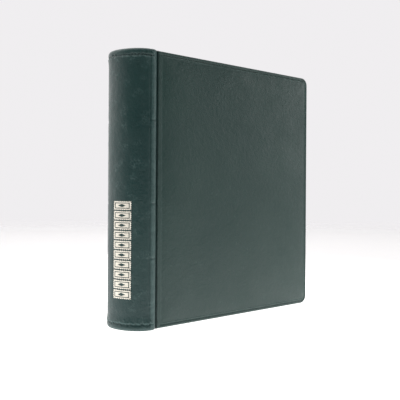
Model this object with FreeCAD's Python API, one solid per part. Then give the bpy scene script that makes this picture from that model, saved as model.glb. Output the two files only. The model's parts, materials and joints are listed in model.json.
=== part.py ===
"""Ring album for postcards and stamp cards, standing upright with its covers slightly open.

Millimetres, +Z up. The spine bulges towards -X, the fore-edges point to +X, the front cover is
on the -Y side. Every piece is drawn with the album shut and then turned to its place in the
standing album: the covers about their hinges, the leaves about the centre line of the rings.
"""
import FreeCAD, Part
import math
import os

Vector = FreeCAD.Vector

# Driving dimensions of the whole album
HEIGHT = 250.0
COVER_REACH = 208.0            # hinge line to fore-edge
SHUT_THICKNESS = 48.0
SPINE_DEPTH = 20.0             # hinge line to the crown of the spine
SPLAY = 22.0                   # how far each cover stands open, in degrees

# Cover build-up, from the outside in
SKIN = 0.8
FOAM = 1.4
BOARD = 2.2
LINING = 0.5
LINING_INSET = 4.0
COVER_GAP = 1.6                # hinge line to the near edge of a cover
COVER_CORNER = 8.0
COVER_EDGE_ROUND = 1.2

# Hinges: each cover turns about a line just under the outer faces
HINGE_SINK = 1.3
HINGE_Y = SHUT_THICKNESS / 2 - HINGE_SINK
WEB_RADIUS = 1.2
WEB_NECK = 0.7

# Half-round spine
SPINE_EDGE = 1.6               # hinge line to the flat side of the spine
SPINE_STRAIGHT = 2.0           # straight flank before the half-round starts
SPINE_SHELL = 2.0
SPINE_BOARD_HALF = SHUT_THICKNESS / 2 - SKIN - SPINE_SHELL
SPINE_LINING_HALF = 20.0

# Foil ornament: a row of small perforated frames on the lower half of the spine
FOIL = 0.1
ORNAMENT_COUNT = 10
ORNAMENT_BOTTOM = 27.0
ORNAMENT_LENGTH = 89.0
ORNAMENT_ACROSS = 19.0
ORNAMENT_LINE = 1.1
ORNAMENT_SPACE = 1.5
ORNAMENT_TEETH = 7
ORNAMENT_LOZENGE = 0.55        # share of the frame's window that its lozenge takes

# Ring mechanism on the spine's inner board
CANOPY_FOOT_X = LINING - SPINE_EDGE
CANOPY_SHOULDER_X = 1.9
CANOPY_CROWN_X = 4.4
CANOPY_HALF = 8.0
CANOPY_WALL = 0.8
CANOPY_LENGTH = 218.0
CANOPY_RIB = 1.9               # half width left uncut between the ring slots
BLADE_X = 1.2
BLADE_THICKNESS = 1.0
BLADE_OUTER = 6.6
BLADE_INNER = 0.35
BLADE_LENGTH = 203.0
BLADE_POST_HOLE = 2.6         # radius of the notch round a rivet
RING_CENTRE_X = 16.2
RING_RADIUS = 14.5
RING_WIRE = 3.0
RING_ROOT = 2.5                # half gap between the roots of a pair of half rings
RING_SLOT = 4.2
RINGS_FROM_MIDDLE = (-77.5, -32.5, 32.5, 77.5)
RING_HEIGHTS = [HEIGHT / 2 + offset for offset in RINGS_FROM_MIDDLE]
RIVETS_FROM_MIDDLE = (-55.0, 55.0)
RIVET_HEIGHTS = [HEIGHT / 2 + offset for offset in RIVETS_FROM_MIDDLE]
RIVET_SHANK = 3.0
RIVET_HEAD = 6.0
RIVET_HEAD_HEIGHT = 0.9
WASHER = 8.0
WASHER_THICKNESS = 0.6

# Opening levers, one at each end of the canopy
LEVER_PIVOT_FROM_END = 3.5     # canopy end to lever pin
LEVER_PIN = 2.0
LEVER_BORE = 2.1
LEVER_HUB = 3.4
LEVER_HUB_HALF = 3.0
LEVER_TOE = 3.2
LEVER_PLATE = 1.4
LEVER_NECK = (3.0, 5.5)        # x above the pin, distance below it, where the thumb pad starts
LEVER_TIP = (7.3, 13.5)
LEVER_PAD_HALF = 5.0

# Leaves: five in front of the ring centre and five behind it
LEAVES_A_SIDE = 5
LEAF_PITCH = 2.0
LEAF_BOTTOM = 14.5
LEAF_WIDTH = 160.0             # pocket panel, without the hole strip
CARD = 0.4
FILM = 0.3
STRIP = 0.8
STRIP_INNER = 6.5              # inner edge to the ring wire
STRIP_OUTER = 9.5
HOLE_INWARD = 2.8              # oval hole: reach on each side of the ring wire
HOLE_OUTWARD = 5.8
HOLE_HEIGHT = 5.0
LEAF_CORNER = 4.0
LEAF_FAN = 0.16                # share of its cover's turn that each further leaf takes


def leaf_middle_y(number):
    """Where a front leaf lies in the shut album; leaf 1 is next to the middle plane."""
    return -LEAF_PITCH * (number - 0.5)


def ring_wire_x(y):
    """Where the ring wire passes through a leaf that lies at y."""
    return RING_CENTRE_X + math.sqrt(RING_RADIUS ** 2 - y ** 2)


def middle_leaf_reach():
    """How far the middle leaves reach in the standing album: they are its furthest point."""
    turn = math.radians(SPLAY * LEAF_FAN)
    inner_face_y = leaf_middle_y(1) + CARD / 2 + FILM
    length = ring_wire_x(leaf_middle_y(1)) + STRIP_OUTER + LEAF_WIDTH - RING_CENTRE_X
    return RING_CENTRE_X + length * math.cos(turn) + inner_face_y * math.sin(turn)


BASE_CENTRE_X = (middle_leaf_reach() - SPINE_DEPTH - FOIL) / 2


def box(x_low, x_high, y_low, y_high, z_low, z_high):
    """A block between two corners."""
    size = (x_high - x_low, y_high - y_low, z_high - z_low)
    return Part.makeBox(*size, Vector(x_low, y_low, z_low))


def prism(points, direction):
    """A closed outline of straight edges, extruded."""
    corners = [Vector(*point) for point in points]
    outline = Part.makePolygon(corners + corners[:1])
    return Part.Face(outline).extrude(Vector(*direction))


def rod(x, y, z, diameter, length, direction):
    return Part.makeCylinder(diameter / 2, length, Vector(x, y, z), Vector(*direction))


def mirrored(shape):
    """The same piece on the back half of the album."""
    return shape.mirror(Vector(0, 0, 0), Vector(0, 1, 0))


def turned(shape, x, y, degrees):
    """The piece turned about an upright line, positive from +X towards +Y."""
    copy = shape.copy()
    copy.rotate(Vector(x, y, 0), Vector(0, 0, 1), degrees)
    return copy


def save(name, *shapes):
    """Write a node with the album's base centre at the origin."""
    whole = shapes[0] if len(shapes) == 1 else Part.makeCompound(list(shapes))
    placed = whole.copy()
    placed.translate(Vector(-BASE_CENTRE_X, 0, 0))
    placed.exportStep("parts/%s.step" % name)
    print("%-24s solids %2d  volume %10.1f" % (name, len(placed.Solids), placed.Volume))


# ---- covers -----------------------------------------------------------------------------

def cover_slab(inset, outer_y, thickness, near_round):
    """A front cover layer: rounded at its two fore-edge corners, soft along the hinge."""
    near = COVER_GAP + inset
    slab = box(near, COVER_REACH - inset, outer_y, outer_y + thickness, inset, HEIGHT - inset)
    far_edges = [edge for edge in slab.Edges
                 if edge.Length < thickness + 0.01 and edge.CenterOfMass.x > COVER_REACH / 2]
    slab = slab.makeFillet(max(COVER_CORNER - inset, 1.0), far_edges)
    if near_round:
        near_edges = [edge for edge in slab.Edges
                      if abs(edge.CenterOfMass.x - near) < 0.01
                      and abs(edge.CenterOfMass.y - outer_y) < 0.01]
        slab = slab.makeFillet(near_round, near_edges)
    return slab


def cover_layers():
    """Skin tray, foam, board and lining of the front cover, shut."""
    outer_y = -SHUT_THICKNESS / 2
    depth = SKIN + FOAM + BOARD
    outside = cover_slab(0.0, outer_y, depth, COVER_EDGE_ROUND)
    hollow = cover_slab(SKIN, outer_y + SKIN, FOAM + BOARD, COVER_EDGE_ROUND - SKIN)
    foam = hollow.common(box(0, COVER_REACH, outer_y, outer_y + SKIN + FOAM, 0, HEIGHT))
    board = hollow.cut(box(0, COVER_REACH, outer_y, outer_y + SKIN + FOAM, 0, HEIGHT))
    lining = cover_slab(LINING_INSET, outer_y + depth, LINING, 0)
    return {"skin": outside.cut(hollow), "foam": foam, "board": board, "lining": lining}


def hinge_web():
    """The flexible strip in the front groove: a bead on the hinge line and its neck."""
    bead = rod(0, -HINGE_Y, 0, 2 * WEB_RADIUS, HEIGHT, (0, 0, 1))
    neck = box(-SPINE_EDGE, 0, -HINGE_Y - WEB_NECK, -HINGE_Y + WEB_NECK, 0, HEIGHT)
    return bead.fuse(neck).removeSplitter()


def make_covers():
    for name, layer in cover_layers().items():
        front = turned(layer, 0, -HINGE_Y, -SPLAY)
        save("front_cover_" + name, front)
        save("back_cover_" + name, mirrored(front))
    save("front_hinge_web", hinge_web())
    save("back_hinge_web", mirrored(hinge_web()))


# ---- spine ------------------------------------------------------------------------------

def spine_profile(inset):
    """The half-round outline, inset by a wall, as a face on the base plane."""
    half = SHUT_THICKNESS / 2 - inset
    start = -SPINE_EDGE - SPINE_STRAIGHT
    depth = SPINE_DEPTH - SPINE_EDGE - SPINE_STRAIGHT - inset
    ellipse = Part.Ellipse(Vector(start, half, 0), Vector(start - depth, 0, 0), Vector(start, 0, 0))
    arc = Part.ArcOfEllipse(ellipse, 0, math.pi).toShape()
    first, last = arc.Vertexes[0].Point, arc.Vertexes[-1].Point
    corners = [last, Vector(-SPINE_EDGE, last.y, 0), Vector(-SPINE_EDGE, first.y, 0), first]
    sides = [Part.makeLine(a, b) for a, b in zip(corners, corners[1:])]
    return Part.Face(Part.Wire([arc] + sides))


def half_round(inset, z_low, z_high):
    """The solid D of the spine between two heights."""
    solid = spine_profile(inset).extrude(Vector(0, 0, z_high - z_low))
    solid.translate(Vector(0, 0, z_low))
    return solid


def through_spine(heights, diameter):
    """Drills for the two mounting rivets."""
    return [rod(-SPINE_DEPTH, 0, z, diameter, 2 * SPINE_DEPTH, (1, 0, 0)) for z in heights]


def ornament():
    """Perforated frames with a lozenge in each, laid on the crown of the spine."""
    step = ORNAMENT_LENGTH / ORNAMENT_COUNT
    half_z = (step - ORNAMENT_SPACE) / 2
    half_y = ORNAMENT_ACROSS / 2
    tooth = ORNAMENT_ACROSS / ORNAMENT_TEETH
    skin_face = half_round(-FOIL, 0, HEIGHT).cut(half_round(0, 0, HEIGHT))
    pieces = []
    for index in range(ORNAMENT_COUNT):
        middle = ORNAMENT_BOTTOM + step * (index + 0.5)
        low, high = middle - half_z, middle + half_z
        frame = box(-2 * SPINE_DEPTH, -SPINE_DEPTH / 2, -half_y, half_y, low, high)
        window_y = half_y - ORNAMENT_LINE
        window_z = half_z - ORNAMENT_LINE
        cutters = [box(-2 * SPINE_DEPTH, 0, -window_y, window_y, middle - window_z, middle + window_z)]
        for number in range(ORNAMENT_TEETH):
            y = -half_y + tooth * (number + 0.5)
            for edge in (low, high):
                cutters.append(rod(-2 * SPINE_DEPTH, y, edge, ORNAMENT_LINE, 2 * SPINE_DEPTH, (1, 0, 0)))
        frame = frame.cut(Part.makeCompound(cutters))
        reach_y = window_y * ORNAMENT_LOZENGE
        reach_z = window_z * ORNAMENT_LOZENGE
        start = -2 * SPINE_DEPTH
        lozenge = prism([(start, -reach_y, middle), (start, 0, middle - reach_z),
                         (start, reach_y, middle), (start, 0, middle + reach_z)],
                        (1.5 * SPINE_DEPTH, 0, 0))
        pieces.extend(skin_face.common(frame).Solids)
        pieces.extend(skin_face.common(lozenge).Solids)
    return pieces


def make_spine():
    wall = SKIN + SPINE_SHELL
    board_back = -SPINE_EDGE - SPINE_STRAIGHT
    tube = half_round(0, 0, HEIGHT).cut(half_round(wall, 0, HEIGHT))
    tube = tube.cut(box(-SPINE_EDGE - 0.01, 0, -SPINE_BOARD_HALF, SPINE_BOARD_HALF, 0, HEIGHT))
    shell_space = half_round(SKIN, SKIN, HEIGHT - SKIN).cut(half_round(wall, 0, HEIGHT))
    save("spine_skin", tube.cut(shell_space))
    save("spine_shell", shell_space)
    drills = through_spine(RIVET_HEIGHTS, RIVET_SHANK)
    board = box(board_back, -SPINE_EDGE, -SPINE_BOARD_HALF, SPINE_BOARD_HALF, 0, HEIGHT)
    lining = box(-SPINE_EDGE, CANOPY_FOOT_X, -SPINE_LINING_HALF, SPINE_LINING_HALF,
                 LINING_INSET, HEIGHT - LINING_INSET)
    save("spine_inner_board", board.cut(drills))
    save("spine_lining", lining.cut(drills))
    save("spine_foil_ornament", *ornament())


# ---- ring mechanism ---------------------------------------------------------------------

def canopy_section(wall):
    """The arched outline of the canopy, inset by a wall, open towards the spine board."""
    half = CANOPY_HALF - wall
    foot = CANOPY_FOOT_X
    shoulder = CANOPY_SHOULDER_X
    crown = CANOPY_CROWN_X - wall
    points = [(shoulder, -half), (foot, -half), (foot, half), (shoulder, half)]
    lines = [Part.makeLine(Vector(a[0], a[1], 0), Vector(b[0], b[1], 0))
             for a, b in zip(points, points[1:])]
    arch = Part.Arc(Vector(shoulder, half, 0), Vector(crown, 0, 0), Vector(shoulder, -half, 0))
    return Part.Face(Part.Wire(lines + [arch.toShape()]))


def lever_pin_heights():
    reach = CANOPY_LENGTH / 2 - LEVER_PIVOT_FROM_END
    return [HEIGHT / 2 - reach, HEIGHT / 2 + reach]


def canopy():
    bottom = HEIGHT / 2 - CANOPY_LENGTH / 2
    up = Vector(0, 0, CANOPY_LENGTH)
    shell = canopy_section(0).extrude(up).cut(canopy_section(CANOPY_WALL).extrude(up))
    shell.translate(Vector(0, 0, bottom))
    cutters = through_spine(RIVET_HEIGHTS, RIVET_SHANK)
    half_slot = RING_SLOT / 2
    for z in RING_HEIGHTS:
        for side in (-1, 1):
            y_low, y_high = sorted((side * CANOPY_RIB, side * 2 * CANOPY_HALF))
            cutters.append(box(BLADE_X, 2 * CANOPY_CROWN_X, y_low, y_high,
                               z - half_slot, z + half_slot))
    for z in lever_pin_heights():
        cutters.append(rod(BLADE_X, -2 * CANOPY_HALF, z, LEVER_PIN, 4 * CANOPY_HALF, (0, 1, 0)))
    return shell.cut(cutters)


def front_blade():
    """The spring plate of the front half rings: rounded pivot edge, notches for the rivets."""
    low_x = BLADE_X - BLADE_THICKNESS / 2
    bottom = HEIGHT / 2 - BLADE_LENGTH / 2
    plate = box(low_x, low_x + BLADE_THICKNESS, -BLADE_OUTER, -BLADE_INNER,
                bottom, bottom + BLADE_LENGTH)
    pivot_edge = rod(BLADE_X, -BLADE_OUTER, bottom, BLADE_THICKNESS, BLADE_LENGTH, (0, 0, 1))
    plate = plate.fuse(pivot_edge).removeSplitter()
    return plate.cut(through_spine(RIVET_HEIGHTS, 2 * BLADE_POST_HOLE))


def front_half_ring(z):
    """Half of a round ring, from its tip on the centre plane to its root on the blade."""
    centre = Vector(RING_CENTRE_X, 0, z)
    ring = Part.makeTorus(RING_RADIUS, RING_WIRE / 2, centre, Vector(0, 0, 1))
    keep_root = box(BLADE_X + BLADE_THICKNESS / 2, RING_CENTRE_X, -2 * RING_RADIUS, -RING_ROOT,
                    z - RING_WIRE, z + RING_WIRE)
    keep_tip = box(RING_CENTRE_X, 3 * RING_RADIUS, -2 * RING_RADIUS, 0, z - RING_WIRE, z + RING_WIRE)
    return ring.common(keep_root).fuse(ring.common(keep_tip)).removeSplitter()


def rivets():
    shapes = []
    washer_face = -SPINE_EDGE - SPINE_STRAIGHT - WASHER_THICKNESS
    for z in RIVET_HEIGHTS:
        shank = rod(washer_face, 0, z, RIVET_SHANK, CANOPY_CROWN_X - washer_face, (1, 0, 0))
        head = rod(CANOPY_CROWN_X, 0, z, RIVET_HEAD, RIVET_HEAD_HEIGHT, (1, 0, 0))
        clench = rod(washer_face - RIVET_HEAD_HEIGHT, 0, z, RIVET_HEAD, RIVET_HEAD_HEIGHT, (1, 0, 0))
        shapes.append(shank.fuse([head, clench]).removeSplitter())
    return shapes


def washers():
    face = -SPINE_EDGE - SPINE_STRAIGHT - WASHER_THICKNESS
    shapes = []
    for z in RIVET_HEIGHTS:
        disc = rod(face, 0, z, WASHER, WASHER_THICKNESS, (1, 0, 0))
        shapes.append(disc.cut(rod(face, 0, z, RIVET_SHANK, WASHER_THICKNESS, (1, 0, 0))))
    return shapes


def bottom_lever():
    """The thumb lever at the foot of the canopy: hub, toe towards the blades, raised pad."""
    z = lever_pin_heights()[0]
    x = BLADE_X
    hub = rod(x, -LEVER_HUB_HALF, z, LEVER_HUB, 2 * LEVER_HUB_HALF, (0, 1, 0))
    half = LEVER_PLATE / 2
    toe = box(x - half, x + half, -LEVER_HUB_HALF, LEVER_HUB_HALF, z, z + LEVER_TOE)
    neck_x, neck_drop = x + LEVER_NECK[0], z - LEVER_NECK[1]
    tip_x, tip_drop = x + LEVER_TIP[0], z - LEVER_TIP[1]
    arm = prism([(x - half, -LEVER_HUB_HALF, z), (x + half, -LEVER_HUB_HALF, z),
                 (neck_x, -LEVER_HUB_HALF, neck_drop),
                 (neck_x - LEVER_PLATE, -LEVER_HUB_HALF, neck_drop)],
                (0, 2 * LEVER_HUB_HALF, 0))
    pad = prism([(neck_x - LEVER_PLATE, -LEVER_PAD_HALF, neck_drop),
                 (neck_x, -LEVER_PAD_HALF, neck_drop),
                 (tip_x, -LEVER_PAD_HALF, tip_drop),
                 (tip_x - LEVER_PLATE, -LEVER_PAD_HALF, tip_drop)],
                (0, 2 * LEVER_PAD_HALF, 0))
    lever = hub.fuse([toe, arm, pad]).removeSplitter()
    return lever.cut(rod(x, -CANOPY_HALF, z, LEVER_BORE, 2 * CANOPY_HALF, (0, 1, 0)))


def make_ring_mechanism():
    save("ring_canopy", canopy())
    save("mounting_rivets", *rivets())
    save("rivet_washers", *washers())
    pins = [rod(BLADE_X, -CANOPY_HALF, z, LEVER_PIN, 2 * CANOPY_HALF, (0, 1, 0))
            for z in lever_pin_heights()]
    save("lever_pins", *pins)
    half_rings = [front_half_ring(z) for z in RING_HEIGHTS]
    save("front_blade", front_blade())
    save("back_blade", mirrored(front_blade()))
    save("front_half_rings", *half_rings)
    save("back_half_rings", *[mirrored(ring) for ring in half_rings])
    lever = bottom_lever()
    save("bottom_lever", lever)
    save("top_lever", lever.mirror(Vector(0, 0, HEIGHT / 2), Vector(0, 0, 1)))


# ---- leaves -----------------------------------------------------------------------------

def leaf_sheet(x_low, x_high, y_middle, thickness):
    return box(x_low, x_high, y_middle - thickness / 2, y_middle + thickness / 2,
               LEAF_BOTTOM, HEIGHT - LEAF_BOTTOM)


def oval_hole(x, y, z):
    """A slot across the strip, long enough for the rings to swing open in it."""
    radius = HOLE_HEIGHT / 2
    start = x - HOLE_INWARD + radius
    end = x + HOLE_OUTWARD - radius
    slot = box(start, end, y - STRIP, y + STRIP, z - radius, z + radius)
    ends = [rod(cap, y - STRIP, z, HOLE_HEIGHT, 2 * STRIP, (0, 1, 0)) for cap in (start, end)]
    return slot.fuse(ends)


def front_leaf(number):
    """Hole strip, interleaf card and the two pocket films of one front leaf, album shut."""
    y = leaf_middle_y(number)
    wire_x = ring_wire_x(y)
    strip_end = wire_x + STRIP_OUTER
    panel_end = strip_end + LEAF_WIDTH
    strip = leaf_sheet(wire_x - STRIP_INNER, strip_end, y, STRIP)
    strip = strip.cut([oval_hole(wire_x, y, z) for z in RING_HEIGHTS])
    card = leaf_sheet(strip_end, panel_end, y, CARD)
    film_offset = (CARD + FILM) / 2
    films = [leaf_sheet(strip_end, panel_end, y + side * film_offset, FILM) for side in (-1, 1)]
    rounded = []
    for sheet in [card] + films:
        corners = [edge for edge in sheet.Edges
                   if edge.Length < STRIP and edge.CenterOfMass.x > panel_end - LEAF_CORNER]
        rounded.append(sheet.makeFillet(LEAF_CORNER, corners))
    return {"strip": [strip], "card": rounded[:1], "films": rounded[1:]}


def make_leaves():
    """Front leaves are 01 to 05 from the front cover inwards, back leaves 06 to 10 outwards."""
    for number in range(1, LEAVES_A_SIDE + 1):
        turn = -SPLAY * LEAF_FAN * number
        front_name = "leaf_%02d_" % (LEAVES_A_SIDE + 1 - number)
        back_name = "leaf_%02d_" % (LEAVES_A_SIDE + number)
        for piece, shapes in front_leaf(number).items():
            front = [turned(shape, RING_CENTRE_X, 0, turn) for shape in shapes]
            save(front_name + piece, *front)
            save(back_name + piece, *[mirrored(shape) for shape in front])


def main():
    os.makedirs("parts", exist_ok=True)
    make_covers()
    make_spine()
    make_ring_mechanism()
    make_leaves()
    print("base centre x", round(BASE_CENTRE_X, 4))


main()
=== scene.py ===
# %% [markdown]
# # A padded ring album for postcards
#
# The album stands slightly open, so that it keeps its balance, with the half-round spine turned
# to the viewer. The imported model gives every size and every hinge. This notebook dresses it: soft
# leatherette over padding, a stamped foil row, a plated ring mechanism and clear pocket leaves.

# %% Load the frame
import json
import math

import bmesh
import bpy
import numpy as np
from mathutils import Matrix, Vector, noise


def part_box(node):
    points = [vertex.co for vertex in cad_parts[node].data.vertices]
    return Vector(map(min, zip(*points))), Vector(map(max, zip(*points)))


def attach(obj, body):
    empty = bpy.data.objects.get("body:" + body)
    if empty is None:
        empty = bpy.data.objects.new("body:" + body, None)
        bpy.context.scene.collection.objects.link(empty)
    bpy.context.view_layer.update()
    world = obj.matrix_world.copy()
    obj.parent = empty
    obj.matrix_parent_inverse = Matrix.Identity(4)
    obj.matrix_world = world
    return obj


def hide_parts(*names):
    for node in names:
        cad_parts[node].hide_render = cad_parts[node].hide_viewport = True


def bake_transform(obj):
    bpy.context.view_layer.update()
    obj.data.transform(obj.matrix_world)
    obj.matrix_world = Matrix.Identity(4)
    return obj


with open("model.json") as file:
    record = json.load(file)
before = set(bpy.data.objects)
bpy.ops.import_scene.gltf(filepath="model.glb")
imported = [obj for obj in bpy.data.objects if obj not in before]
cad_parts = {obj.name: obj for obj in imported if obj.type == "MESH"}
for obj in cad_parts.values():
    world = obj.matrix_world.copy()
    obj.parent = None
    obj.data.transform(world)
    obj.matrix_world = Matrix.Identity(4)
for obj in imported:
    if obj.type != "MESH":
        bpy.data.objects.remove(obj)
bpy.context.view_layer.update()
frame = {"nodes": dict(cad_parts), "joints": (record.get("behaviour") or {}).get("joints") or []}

MM = 0.001

# %% [markdown]
# ## Places, all taken from the frame
#
# Two upright hinge lines and the line through the ring centres are the album's skeleton. The
# joints give them exactly. A cover is easiest to draw shut, so each cover is built flat and then
# turned about its hinge by the angle at which it stands open.

# %% Hinges, heights and the turn from shut to standing
JOINTS = {joint["name"]: joint for joint in frame["joints"]}
HINGE = {"front": Vector(JOINTS["front_cover_open"]["pos_m"]),
         "back": Vector(JOINTS["back_cover_open"]["pos_m"])}
SPLAY = math.radians(-JOINTS["front_cover_open"]["range_deg"][0])
SIDE = {"front": -1.0, "back": 1.0}
SPINE_LOW, SPINE_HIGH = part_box("spine_skin")
HEIGHT = SPINE_HIGH.z
HINGE_X = HINGE["front"].x
HALF_SPINE = SPINE_HIGH.y
CROWN_X = SPINE_LOW.x


def standing(side):
    """The matrix that turns a shut cover about its hinge to where it stands."""
    hinge = Vector((HINGE[side].x, HINGE[side].y, 0.0))
    turn = Matrix.Rotation(SIDE[side] * SPLAY, 4, "Z")
    return Matrix.Translation(hinge) @ turn @ Matrix.Translation(-hinge)


print("height %.0f mm, splay %.0f degrees a side" % (HEIGHT / MM, math.degrees(SPLAY)))

# %% [markdown]
# ## Small helpers
#
# Most soft pieces here are grids of points that a formula bends: rows follow one direction of the
# leatherette and columns the other. One function turns such a grid into a mesh. Another closes the
# work on every piece: smooth shading, its material and the body it rides on.

# %% Grid to mesh, and the last touches on a piece
def grid_mesh(name, rows, loop_columns=False):
    """Faces between rows of points; the columns close on themselves for a loop."""
    rows = np.asarray(rows, float)
    count_rows, count_columns = rows.shape[:2]
    index = np.arange(count_rows * count_columns).reshape(count_rows, count_columns)
    right = np.roll(index, -1, axis=1) if loop_columns else index[:, 1:]
    left = index if loop_columns else index[:, :-1]
    faces = np.stack([left[:-1], right[:-1], right[1:], left[1:]], axis=-1).reshape(-1, 4)
    mesh = bpy.data.meshes.new(name)
    mesh.from_pydata(rows.reshape(-1, 3).tolist(), [], faces.tolist())
    return mesh


def new_object(name, mesh):
    piece = bpy.data.objects.new(name, mesh)
    bpy.context.scene.collection.objects.link(piece)
    return piece


def dress(piece, material, body=None):
    """Smooth shading, one material and the body it rides on."""
    piece.data.materials.clear()
    piece.data.materials.append(material)
    piece.data.polygons.foreach_set("use_smooth", [True] * len(piece.data.polygons))
    if body:
        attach(piece, body)
    return piece


def thicken(piece, thickness, offset=-1.0):
    """Give a sheet its wall and bake it in."""
    solidify = piece.modifiers.new("wall", "SOLIDIFY")
    solidify.thickness = thickness
    solidify.offset = offset
    bake_modifiers(piece)


def bake_modifiers(piece):
    """Turn the evaluated piece into a plain mesh and drop its modifiers."""
    bpy.context.view_layer.update()
    evaluated = piece.evaluated_get(bpy.context.evaluated_depsgraph_get())
    baked = bpy.data.meshes.new_from_object(evaluated)
    piece.modifiers.clear()
    piece.data = baked


def wobble(x, y, scale, seed=0.0):
    """Smooth noise from -1 to 1 that is the same on every run."""
    return noise.noise(Vector((x / scale, y / scale, seed)))


def set_rub_and_highlight(mesh, amounts):
    """Store how much each point is painted lighter, part wear and part painted highlight, for the
    leatherette's finish to read.
    """
    layer = mesh.attributes.new("rub_and_highlight", "FLOAT", "POINT")
    layer.data.foreach_set("value", np.clip(np.asarray(amounts, float).ravel(), 0.0, 1.0))


def bump(value, middle, width):
    """A smooth hump of height one."""
    return math.exp(-((value - middle) / width) ** 2)


def spread(*stops):
    """A run of numbers through the given (value, steps) stops."""
    values = [stops[0][0]]
    for (start, _), (end, steps) in zip(stops, stops[1:]):
        values.extend(start + (end - start) * (step + 1) / steps for step in range(steps))
    return np.array(values)


# %% [markdown]
# ## Leatherette
#
# Leatherette is plastic film on cloth, pressed with a leather grain. Close up it is a net of soft
# cells; further off it reads as an even, dark green sheen. The grain is a Voronoi net with a fine
# noise over it, sent to the bump. The colour drifts a little, as on a piece that has been handled,
# and roughness drifts with it. Object coordinates keep the grain at its real size everywhere.
# Each skin also stores an amount per point that this finish paints lighter: partly wear on high
# spots, partly painted highlight along the bead, the crease crests, the rims and the fore-edge.

# %% A little kit for node trees
def new_material(name):
    """A material with only a Principled shader; returns the material, its tree and the shader."""
    material = bpy.data.materials.new(name)
    material.use_nodes = True
    tree = material.node_tree
    shader = tree.nodes["Principled BSDF"]
    return material, tree, shader


def add_node(tree, kind, settings=None, inputs=None):
    """A node with its settings, and its inputs as numbers or as links from other sockets."""
    node = tree.nodes.new(kind)
    for key, value in (settings or {}).items():
        setattr(node, key, value)
    for key, value in (inputs or {}).items():
        if isinstance(value, bpy.types.NodeSocket):
            tree.links.new(value, node.inputs[key])
        else:
            node.inputs[key].default_value = value
    return node


def object_points(tree):
    return tree.nodes.new("ShaderNodeTexCoord").outputs["Object"]


def noise_value(tree, points, scale, detail=3.0, roughness=0.55):
    return add_node(tree, "ShaderNodeTexNoise", None,
                    {"Vector": points, "Scale": scale, "Detail": detail,
                     "Roughness": roughness}).outputs["Fac"]


def between(tree, value, low, high, start=0.3, end=0.7):
    """The value's range start..end spread over low..high."""
    return add_node(tree, "ShaderNodeMapRange", None,
                    {"Value": value, "From Min": start, "From Max": end,
                     "To Min": low, "To Max": high}).outputs["Result"]


def mixed(tree, factor, first, second):
    """A colour mixed from two colours or sockets."""
    mix = add_node(tree, "ShaderNodeMix", {"data_type": "RGBA"}, {0: factor})
    for socket, value in ((mix.inputs[6], first), (mix.inputs[7], second)):
        if isinstance(value, bpy.types.NodeSocket):
            tree.links.new(value, socket)
        else:
            socket.default_value = (*value, 1.0)
    return mix.outputs[2]


def bumped(tree, height, strength, distance, under=None):
    inputs = {"Height": height, "Strength": strength, "Distance": distance}
    if under:
        inputs["Normal"] = under
    return add_node(tree, "ShaderNodeBump", None, inputs).outputs["Normal"]


GRAIN_CELLS_PER_METRE = 900.0
PORES_PER_METRE = 2600.0
SCUFFS_PER_METRE = 220.0
WRINKLES_PER_METRE = 260.0


def leather_grain(tree, points, creases):
    """The grain's net of cells, its pores and the handling wrinkles, as one normal."""
    net = add_node(tree, "ShaderNodeTexVoronoi", {"feature": "DISTANCE_TO_EDGE"},
                   {"Vector": points, "Scale": GRAIN_CELLS_PER_METRE}).outputs["Distance"]
    cells = between(tree, net, 0.0, 1.0, 0.0, 0.25)
    grain = bumped(tree, cells, 0.25, 0.15 * MM)
    pores = noise_value(tree, points, PORES_PER_METRE, 2.0)
    grain = bumped(tree, pores, 0.15, 0.1 * MM, grain)
    wrinkled = noise_value(tree, points, WRINKLES_PER_METRE, 5.0, 0.62)
    return bumped(tree, wrinkled, creases, 2.0 * MM, grain)


def leatherette(name, dark, light, creases):
    """Dark green leatherette; creases is the strength of its handling wrinkles."""
    material, tree, shader = new_material(name)
    points = object_points(tree)
    drift = noise_value(tree, points, 14.0, 4.0)
    colour = mixed(tree, between(tree, drift, 0.0, 1.0), dark, light)
    scuffs = noise_value(tree, points, SCUFFS_PER_METRE, 6.0, 0.7)
    worn = between(tree, scuffs, 0.0, 0.8, 0.60, 0.74)
    worn_tone = [1.25 * c + 0.008 for c in light]
    # The lighter tone that the stored amount mixes in: part wear, part painted highlight.
    rub_and_highlight_tone = [1.6 * c + 0.045 for c in light]
    colour = mixed(tree, worn, colour, worn_tone)
    rub_and_highlight = add_node(tree, "ShaderNodeAttribute", {"attribute_name": "rub_and_highlight"}).outputs["Fac"]
    patchy = add_node(tree, "ShaderNodeMath", {"operation": "MULTIPLY"},
                      {0: rub_and_highlight, 1: between(tree, scuffs, 0.45, 1.0, 0.35, 0.65)}).outputs[0]
    tree.links.new(mixed(tree, patchy, colour, rub_and_highlight_tone), shader.inputs["Base Color"])
    tree.links.new(between(tree, noise_value(tree, points, 45.0, 5.0), 0.34, 0.5),
                   shader.inputs["Roughness"])
    tree.links.new(leather_grain(tree, points, creases), shader.inputs["Normal"])
    shader.inputs["IOR"].default_value = 1.5
    return material


SPINE_LEATHER = leatherette("green_leatherette_spine", (0.006, 0.036, 0.035),
                            (0.013, 0.050, 0.046), 0.3)
# A darker copy of the spine leatherette for the hinge strips: part dirt, part painted shade of the
# groove.
HINGE_DIRT_AND_PAINTED_SHADE_LEATHER = leatherette("green_leatherette_hinge_dirt_and_painted_shade", (0.003, 0.020, 0.019),
                            (0.007, 0.030, 0.028), 0.3)
COVER_LEATHER = leatherette("green_leatherette_cover", (0.017, 0.049, 0.043),
                            (0.025, 0.060, 0.052), 0.2)

# %% [markdown]
# ## Board, foam, paper and card
#
# These are the dull materials: grey binder board with flecks of recycled fibre, open foam, dark
# lining paper with a faint laid pattern, and black interleaf card. Each one is fibre seen at its
# own size, so one recipe with different scales serves them all.

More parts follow.
